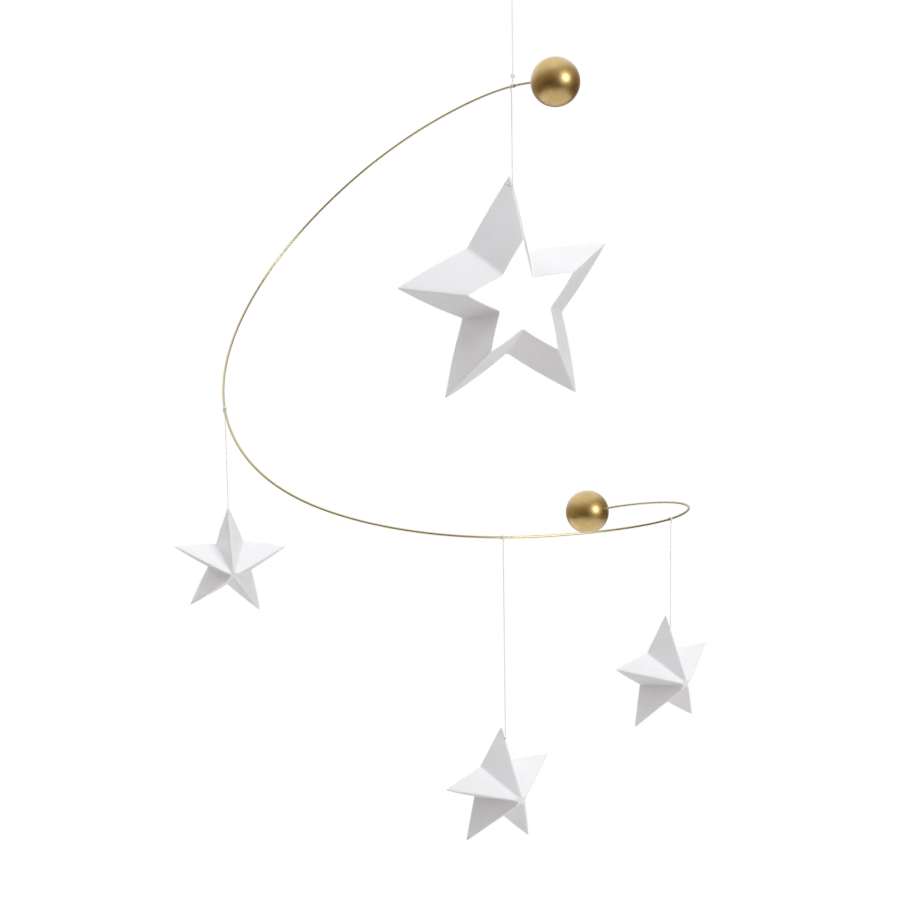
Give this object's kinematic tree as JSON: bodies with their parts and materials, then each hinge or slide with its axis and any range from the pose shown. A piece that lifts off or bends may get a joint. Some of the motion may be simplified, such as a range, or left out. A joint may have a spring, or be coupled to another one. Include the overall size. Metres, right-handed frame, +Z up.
{
  "type": "hanging mobile",
  "caption": "Hanging mobile: a brass wire bent into an open spiral, a gold ball on each end, carries folded white card stars on cotton threads below a knotted hanging loop.",
  "frame": {"origin": "top of the hanging loop, where the hook that carries the mobile bears", "axes": "+Z up, -Y towards the front of the stars, +X to the right seen from the front"},
  "size_m": [0.3895, 0.285, 0.6173],
  "materials": {
    "thread": "white twisted cotton",
    "wire": "bright drawn brass",
    "ball": "turned wood under satin gold lacquer",
    "card": "matt white card"
  },
  "bodies": {
    "hanging_loop": {"hanging_loop": "thread"},
    "loop_knot": {"loop_knot": "thread"},
    "main_thread": {"main_thread": "thread"},
    "main_knot": {"main_knot": "thread"},
    "main_hitch": {"main_hitch": "thread"},
    "spiral": {"spiral_wire": "wire", "upper_ball": "ball", "lower_ball": "ball"},
    "big_star_hitch": {"big_star_hitch": "thread"},
    "big_star_thread": {"big_star_thread": "thread"},
    "big_star": {"big_star_knot": "thread", "big_star_loop": "thread", "big_star": "card"},
    "left_star_hitch": {"left_star_hitch": "thread"},
    "left_star_thread": {"left_star_thread": "thread"},
    "left_star": {"left_star_knot": "thread", "left_star_loop": "thread", "left_star": "card"},
    "middle_star_hitch": {"middle_star_hitch": "thread"},
    "middle_star_thread": {"middle_star_thread": "thread"},
    "middle_star": {"middle_star_knot": "thread", "middle_star_loop": "thread", "middle_star": "card"},
    "right_star_hitch": {"right_star_hitch": "thread"},
    "right_star_thread": {"right_star_thread": "thread"},
    "right_star": {"right_star_knot": "thread", "right_star_loop": "thread", "right_star": "card"}
  },
  "joints": [
    {"name": "mobile_swing_forward", "type": "hinge", "parent": "hanging_loop", "child": "loop_knot", "pos_m": [0, 0, -0.02215], "axis": [1, 0, 0], "range_deg": [-15, 15]},
    {"name": "mobile_swing_sideways", "type": "hinge", "parent": "loop_knot", "child": "main_thread", "pos_m": [0, 0, -0.0262], "axis": [0, 1, 0], "range_deg": [-15, 15]},
    {"name": "mobile_turn", "type": "hinge", "parent": "main_thread", "child": "main_knot", "pos_m": [0, 0, -0.0845], "axis": [0, 0, 1], "continuous": true},
    {"name": "spiral_tilt", "type": "hinge", "parent": "main_knot", "child": "main_hitch", "pos_m": [0, 0, -0.08855], "axis": [0.7938, 0.6082, 0], "range_deg": [-10, 10]},
    {"name": "spiral_roll", "type": "hinge", "parent": "main_hitch", "child": "spiral", "pos_m": [0, 0, -0.0937], "axis": [-0.6054, 0.7901, -0.0962], "range_deg": [-10, 10]},
    {"name": "big_star_swing_across", "type": "hinge", "parent": "spiral", "child": "big_star_hitch", "pos_m": [-0.001, 0.0013, -0.09386], "axis": [-0.6084, 0.7869, -0.1032], "range_deg": [-15, 15]},
    {"name": "big_star_swing_along", "type": "hinge", "parent": "big_star_hitch", "child": "big_star_thread", "pos_m": [-0.001, 0.0013, -0.09901], "axis": [0.7911, 0.6117, 0], "range_deg": [-15, 15]},
    {"name": "big_star_turn", "type": "hinge", "parent": "big_star_thread", "child": "big_star", "pos_m": [-0.001, 0.0013, -0.16586], "axis": [0, 0, 1], "continuous": true},
    {"name": "left_star_swing_across", "type": "hinge", "parent": "spiral", "child": "left_star_hitch", "pos_m": [-0.21186, -0.04233, -0.3223], "axis": [0.1947, -0.8206, -0.5373], "range_deg": [-15, 15]},
    {"name": "left_star_swing_along", "type": "hinge", "parent": "left_star_hitch", "child": "left_star_thread", "pos_m": [-0.21186, -0.04233, -0.32745], "axis": [0.973, 0.2308, 0], "range_deg": [-15, 15]},
    {"name": "left_star_turn", "type": "hinge", "parent": "left_star_thread", "child": "left_star", "pos_m": [-0.21186, -0.04233, -0.3983], "axis": [0, 0, 1], "continuous": true},
    {"name": "middle_star_swing_across", "type": "hinge", "parent": "spiral", "child": "middle_star_hitch", "pos_m": [-0.01513, -0.14029, -0.40035], "axis": [0.9615, 0.267, -0.0646], "range_deg": [-15, 15]},
    {"name": "middle_star_swing_along", "type": "hinge", "parent": "middle_star_hitch", "child": "middle_star_thread", "pos_m": [-0.01513, -0.14029, -0.4055], "axis": [-0.2676, 0.9635, 0], "range_deg": [-15, 15]},
    {"name": "middle_star_turn", "type": "hinge", "parent": "middle_star_thread", "child": "middle_star", "pos_m": [-0.01513, -0.14029, -0.54035], "axis": [0, 0, 1], "continuous": true},
    {"name": "right_star_swing_across", "type": "hinge", "parent": "spiral", "child": "right_star_hitch", "pos_m": [0.10706, -0.06511, -0.4033], "axis": [0.5733, 0.8193, -0.006], "range_deg": [-15, 15]},
    {"name": "right_star_swing_along", "type": "hinge", "parent": "right_star_hitch", "child": "right_star_thread", "pos_m": [0.10706, -0.06511, -0.40845], "axis": [-0.8193, 0.5733, 0], "range_deg": [-15, 15]},
    {"name": "right_star_turn", "type": "hinge", "parent": "right_star_thread", "child": "right_star", "pos_m": [0.10706, -0.06511, -0.4833], "axis": [0, 0, 1], "continuous": true}
  ]
}
